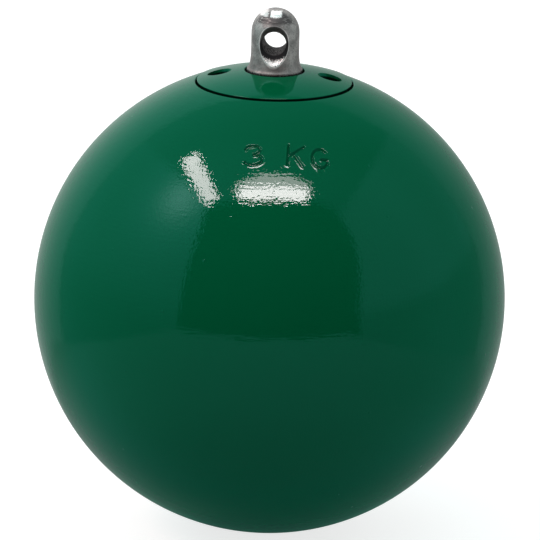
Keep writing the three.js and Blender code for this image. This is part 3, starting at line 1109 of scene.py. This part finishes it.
# %% Hang the lamps
warm = (1.0, 0.188, 0.196)
core = (0.033, -0.397, 0.917)
bar = (0.029, -0.349, 0.937)
pane = (-0.481, -0.15, 0.864)
skylight = (-0.034, 0.413, 0.907)
side_light = (-0.52, 0.69, 0.5)

painted = bpy.data.collections.new("painted pieces")
for piece in (ball, plug):
    painted.objects.link(piece)
bare = bpy.data.collections.new("bare pieces")
for piece in (swivel, paper, *frame["nodes"].values()):
    bare.objects.link(piece)

only_on(painted, hang_lamp("bar's core for the paint", core, 29, 7, 240, 1.19, colour=warm))
only_on(painted, hang_lamp("bar for the paint", bar, 33, 15, 95, colour=warm, shape="ELLIPSE"))
only_on(painted, hang_lamp("window for the paint", pane, 29.6, 6.3, 220, tilt=-5.3, colour=warm))
only_on(bare, hang_lamp("bar for the steel", bar, 34, 13, 8))
only_on(bare, hang_lamp("window for the steel", pane, 30, 7, 4))
only_on(bare, hang_lamp("skylight for the steel", skylight, 22, 16, 5))
only_on(bare, hang_lamp("side light for the steel", side_light, 10, 10, 4))
soft = hang_lamp("soft light", (0.12, -0.4, 0.9), 60, 60, 0.6, 1.6)
soft.visible_glossy = False
print("lamps hung")

# %% [markdown]
# ## The room
#
# Most of what makes gloss paint look real is the room in it. This ball stands in a white tent:
# a ceiling, a wall at each side, a far wall that starts beyond an arc, and a dark opening that
# the camera looks in through. A picture of a room could be wrapped round the world, but this one
# is worked out from the direction (x, y, z) in which a ray leaves the ball, so it can be tuned
# edge by edge. Each edge is a sum that is above 0 on one side of it.

# %% Where each part of the tent lies
edge_blur, corner_blur = 0.01, 0.02
opening_left, left_bow = 0.655, 0.32
opening_right, right_bow = 0.738, 0.62
opening_rise, opening_slant = 0.47, 0.08
camera_half = (0.1, 0.2)
left_rise, left_lean = 0.755, 0.385
right_rise, right_lean = 0.727, 0.065
wall_start = (0.0, 0.1)
away = Vector((-0.084, 0.959, -0.272))
arc_reach, arc_droop, droop_band = 0.582, 0.145, (-0.05, 0.5)


def past(value, blur):
    """1 where a value is above 0, 0 where it is below, and a short rise between."""
    return stepped(value, -blur, blur)


def camera_opening(x, y, z):
    """1 in the dark opening, which has two bowed sides and a slanting top."""
    left_side = past(x + opening_left - z * z * left_bow, edge_blur)
    right_side = past(opening_right - z * z * z * z * right_bow - x, edge_blur)
    top = past(0 - y - z * opening_rise + x * opening_slant, edge_blur)
    return left_side * right_side * top * stepped(0 - y, *camera_half)


def side_walls(x, y, z):
    """1 on the left wall, and 1 on the right wall, up to where each meets the ceiling."""
    at_left = past(0 - x - z * left_rise - y * left_lean, corner_blur)
    at_right = past(x - z * right_rise - y * right_lean, corner_blur)
    return at_left * stepped(0 - x, *wall_start), at_right * stepped(x, *wall_start)


def beyond_arc(ray, z):
    """Above 0 for a ray that meets the far wall, which is the side away from the camera."""
    sockets = {0: ray, 1: away}
    facing = ray.node("VectorMath", {"operation": "DOT_PRODUCT"}, sockets, output="Value")
    return facing + stepped(z, *droop_band) * arc_droop - arc_reach


print("the tent's edges are ready")

# %% How bright each part is
def near_light(x, y, z, at_left, at_right):
    """The light of the ceiling and the side walls."""
    ceiling = 0.75 - x * 0.5 + stepped(0 - y, -0.35, 0.25) * 0.35
    ceiling = ceiling * (1 - at_left) * (1 - at_right)
    left = 0.7 + stepped(z, -0.15, 0.3) * 0.5
    left = left * (1.0 + stepped(0 - y, -0.4, 0.1) * 0.15)
    right = 0.85 + stepped(0 - y, -0.55, 0.0) * 0.65
    right = right * (0.62 + stepped(z, 0.02, 0.16) * 0.38)
    return ceiling + left * at_left + right * at_right


def far_light(x, z):
    """The light of the far wall, which is brighter at the left."""
    far_left = 0.88 + stepped(z, -0.4, 0.35) * 0.54
    far_right = 0.72 + stepped(z, 0.0, 0.4) * 0.17
    leftness = stepped(0 - x, -0.2, 0.2)
    return far_left * leftness + far_right * (1 - leftness)


print("the tent's cloth is ready")

# %% [markdown]
# ## The room as a world
#
# The parts are added up and lit. Beside the window the cloth glows softly, which is a power of
# the angle to it. A high power is a small bright patch, and a low one a wide faint one.

# %% Build the room
dim_everywhere = 0.02
arc_blur = 0.005
hem_band, hem_shade = (-0.03, -0.012), 0.3
wide_power, patch_power = 12.0, 80.0
beside_window = Vector((-0.61, -0.22, 0.755)).normalized()


def make_room():
    """The tent, as the light that comes from each direction."""
    world = bpy.data.worlds.new("room")
    world.use_nodes = True
    world.node_tree.nodes.clear()
    ray = Wire(world.node_tree).node("TexCoord", output="Generated")
    x, y, z = parted(ray)
    opening = camera_opening(x, y, z)
    at_left, at_right = side_walls(x, y, z)
    edge = beyond_arc(ray, z)
    wall = past(edge, arc_blur)
    hem = stepped(edge, *hem_band) * hem_shade
    near = near_light(x, y, z, at_left, at_right) * (1 - hem)
    light = (near * (1 - wall) + far_light(x, z) * wall) * (1 - opening) + dim_everywhere
    sockets = {0: ray, 1: beside_window}
    towards = ray.node("VectorMath", {"operation": "DOT_PRODUCT"}, sockets, output="Value")
    towards = towards.math("MAXIMUM", 0.0)
    patch = (0.15 + at_left * 0.85) * (1 - opening) * (1 - wall)
    light = light + towards.math("POWER", wide_power) * patch * 2.2
    glow = towards.math("POWER", patch_power) * patch * 4.8
    cool = mixed((1 - wall) * (1 - at_right * 0.5), (1, 1, 1, 1), (0.72, 1, 1, 1))
    cloth = ray.node("Background", {}, {"Color": cool, "Strength": light})
    pale = ray.node("Background", {}, {"Color": (1, 0.36, 0.36, 1), "Strength": glow * 2.7})
    both = ray.node("AddShader", {}, {0: cloth, 1: pale})
    both.node("OutputWorld", {}, {"Surface": both})
    return world


bpy.context.scene.world = make_room()
print("room lit")

# %% [markdown]
# ## Camera
#
# The camera looks slightly down on the head with a long lens, so that the ball looks round and
# the plug shows as a narrow ellipse. Its place is worked out from the ball's outline in the
# picture: the outline's middle and radius in pixels give the aim and the length of the lens, and
# the ball's radius over the camera's distance is the nearness.

# %% Measure the view
picture_side = 540
outline_middle = (269.5, 297.66)
outline_radius = 235.44
nearness = 0.04
azimuth = math.radians(3.4)
elevation = math.radians(15.8)
camera_roll = math.radians(1.3)

focal_pixels = outline_radius / math.tan(math.asin(nearness))
back = Vector((
    math.sin(azimuth) * math.cos(elevation),
    -math.cos(azimuth) * math.cos(elevation),
    math.sin(elevation),
))
level_right = Vector((math.cos(azimuth), math.sin(azimuth), 0))
level_up = back.cross(level_right)
rolled_right = level_right * math.cos(camera_roll) + level_up * math.sin(camera_roll)
rolled_up = level_up * math.cos(camera_roll) - level_right * math.sin(camera_roll)
aim_right = (picture_side / 2 - outline_middle[0]) / focal_pixels
aim_up = (outline_middle[1] - picture_side / 2) / focal_pixels
sight = (-back + rolled_right * aim_right + rolled_up * aim_up).normalized()
print("the camera looks along", [round(v, 3) for v in sight])

# %% Place the camera
lens = bpy.data.cameras.new("camera")
lens.sensor_width = 36
lens.lens = focal_pixels * lens.sensor_width / picture_side
lens.clip_start = 0.05
lens.clip_end = 50
camera = bpy.data.objects.new("camera", lens)
true_right = sight.cross(rolled_up).normalized()
true_up = true_right.cross(sight)
camera_turn = Matrix((true_right, true_up, -sight)).transposed().to_4x4()
camera_place = Vector((0, 0, ball_centre)) + back * (ball_radius / nearness)
camera.matrix_world = Matrix.Translation(camera_place) @ camera_turn
bpy.context.scene.collection.objects.link(camera)
bpy.context.scene.camera = camera
bpy.context.scene.view_settings.view_transform = "Standard"
print("lens", round(lens.lens, 1), "mm, distance", round(ball_radius / nearness, 4), "m")
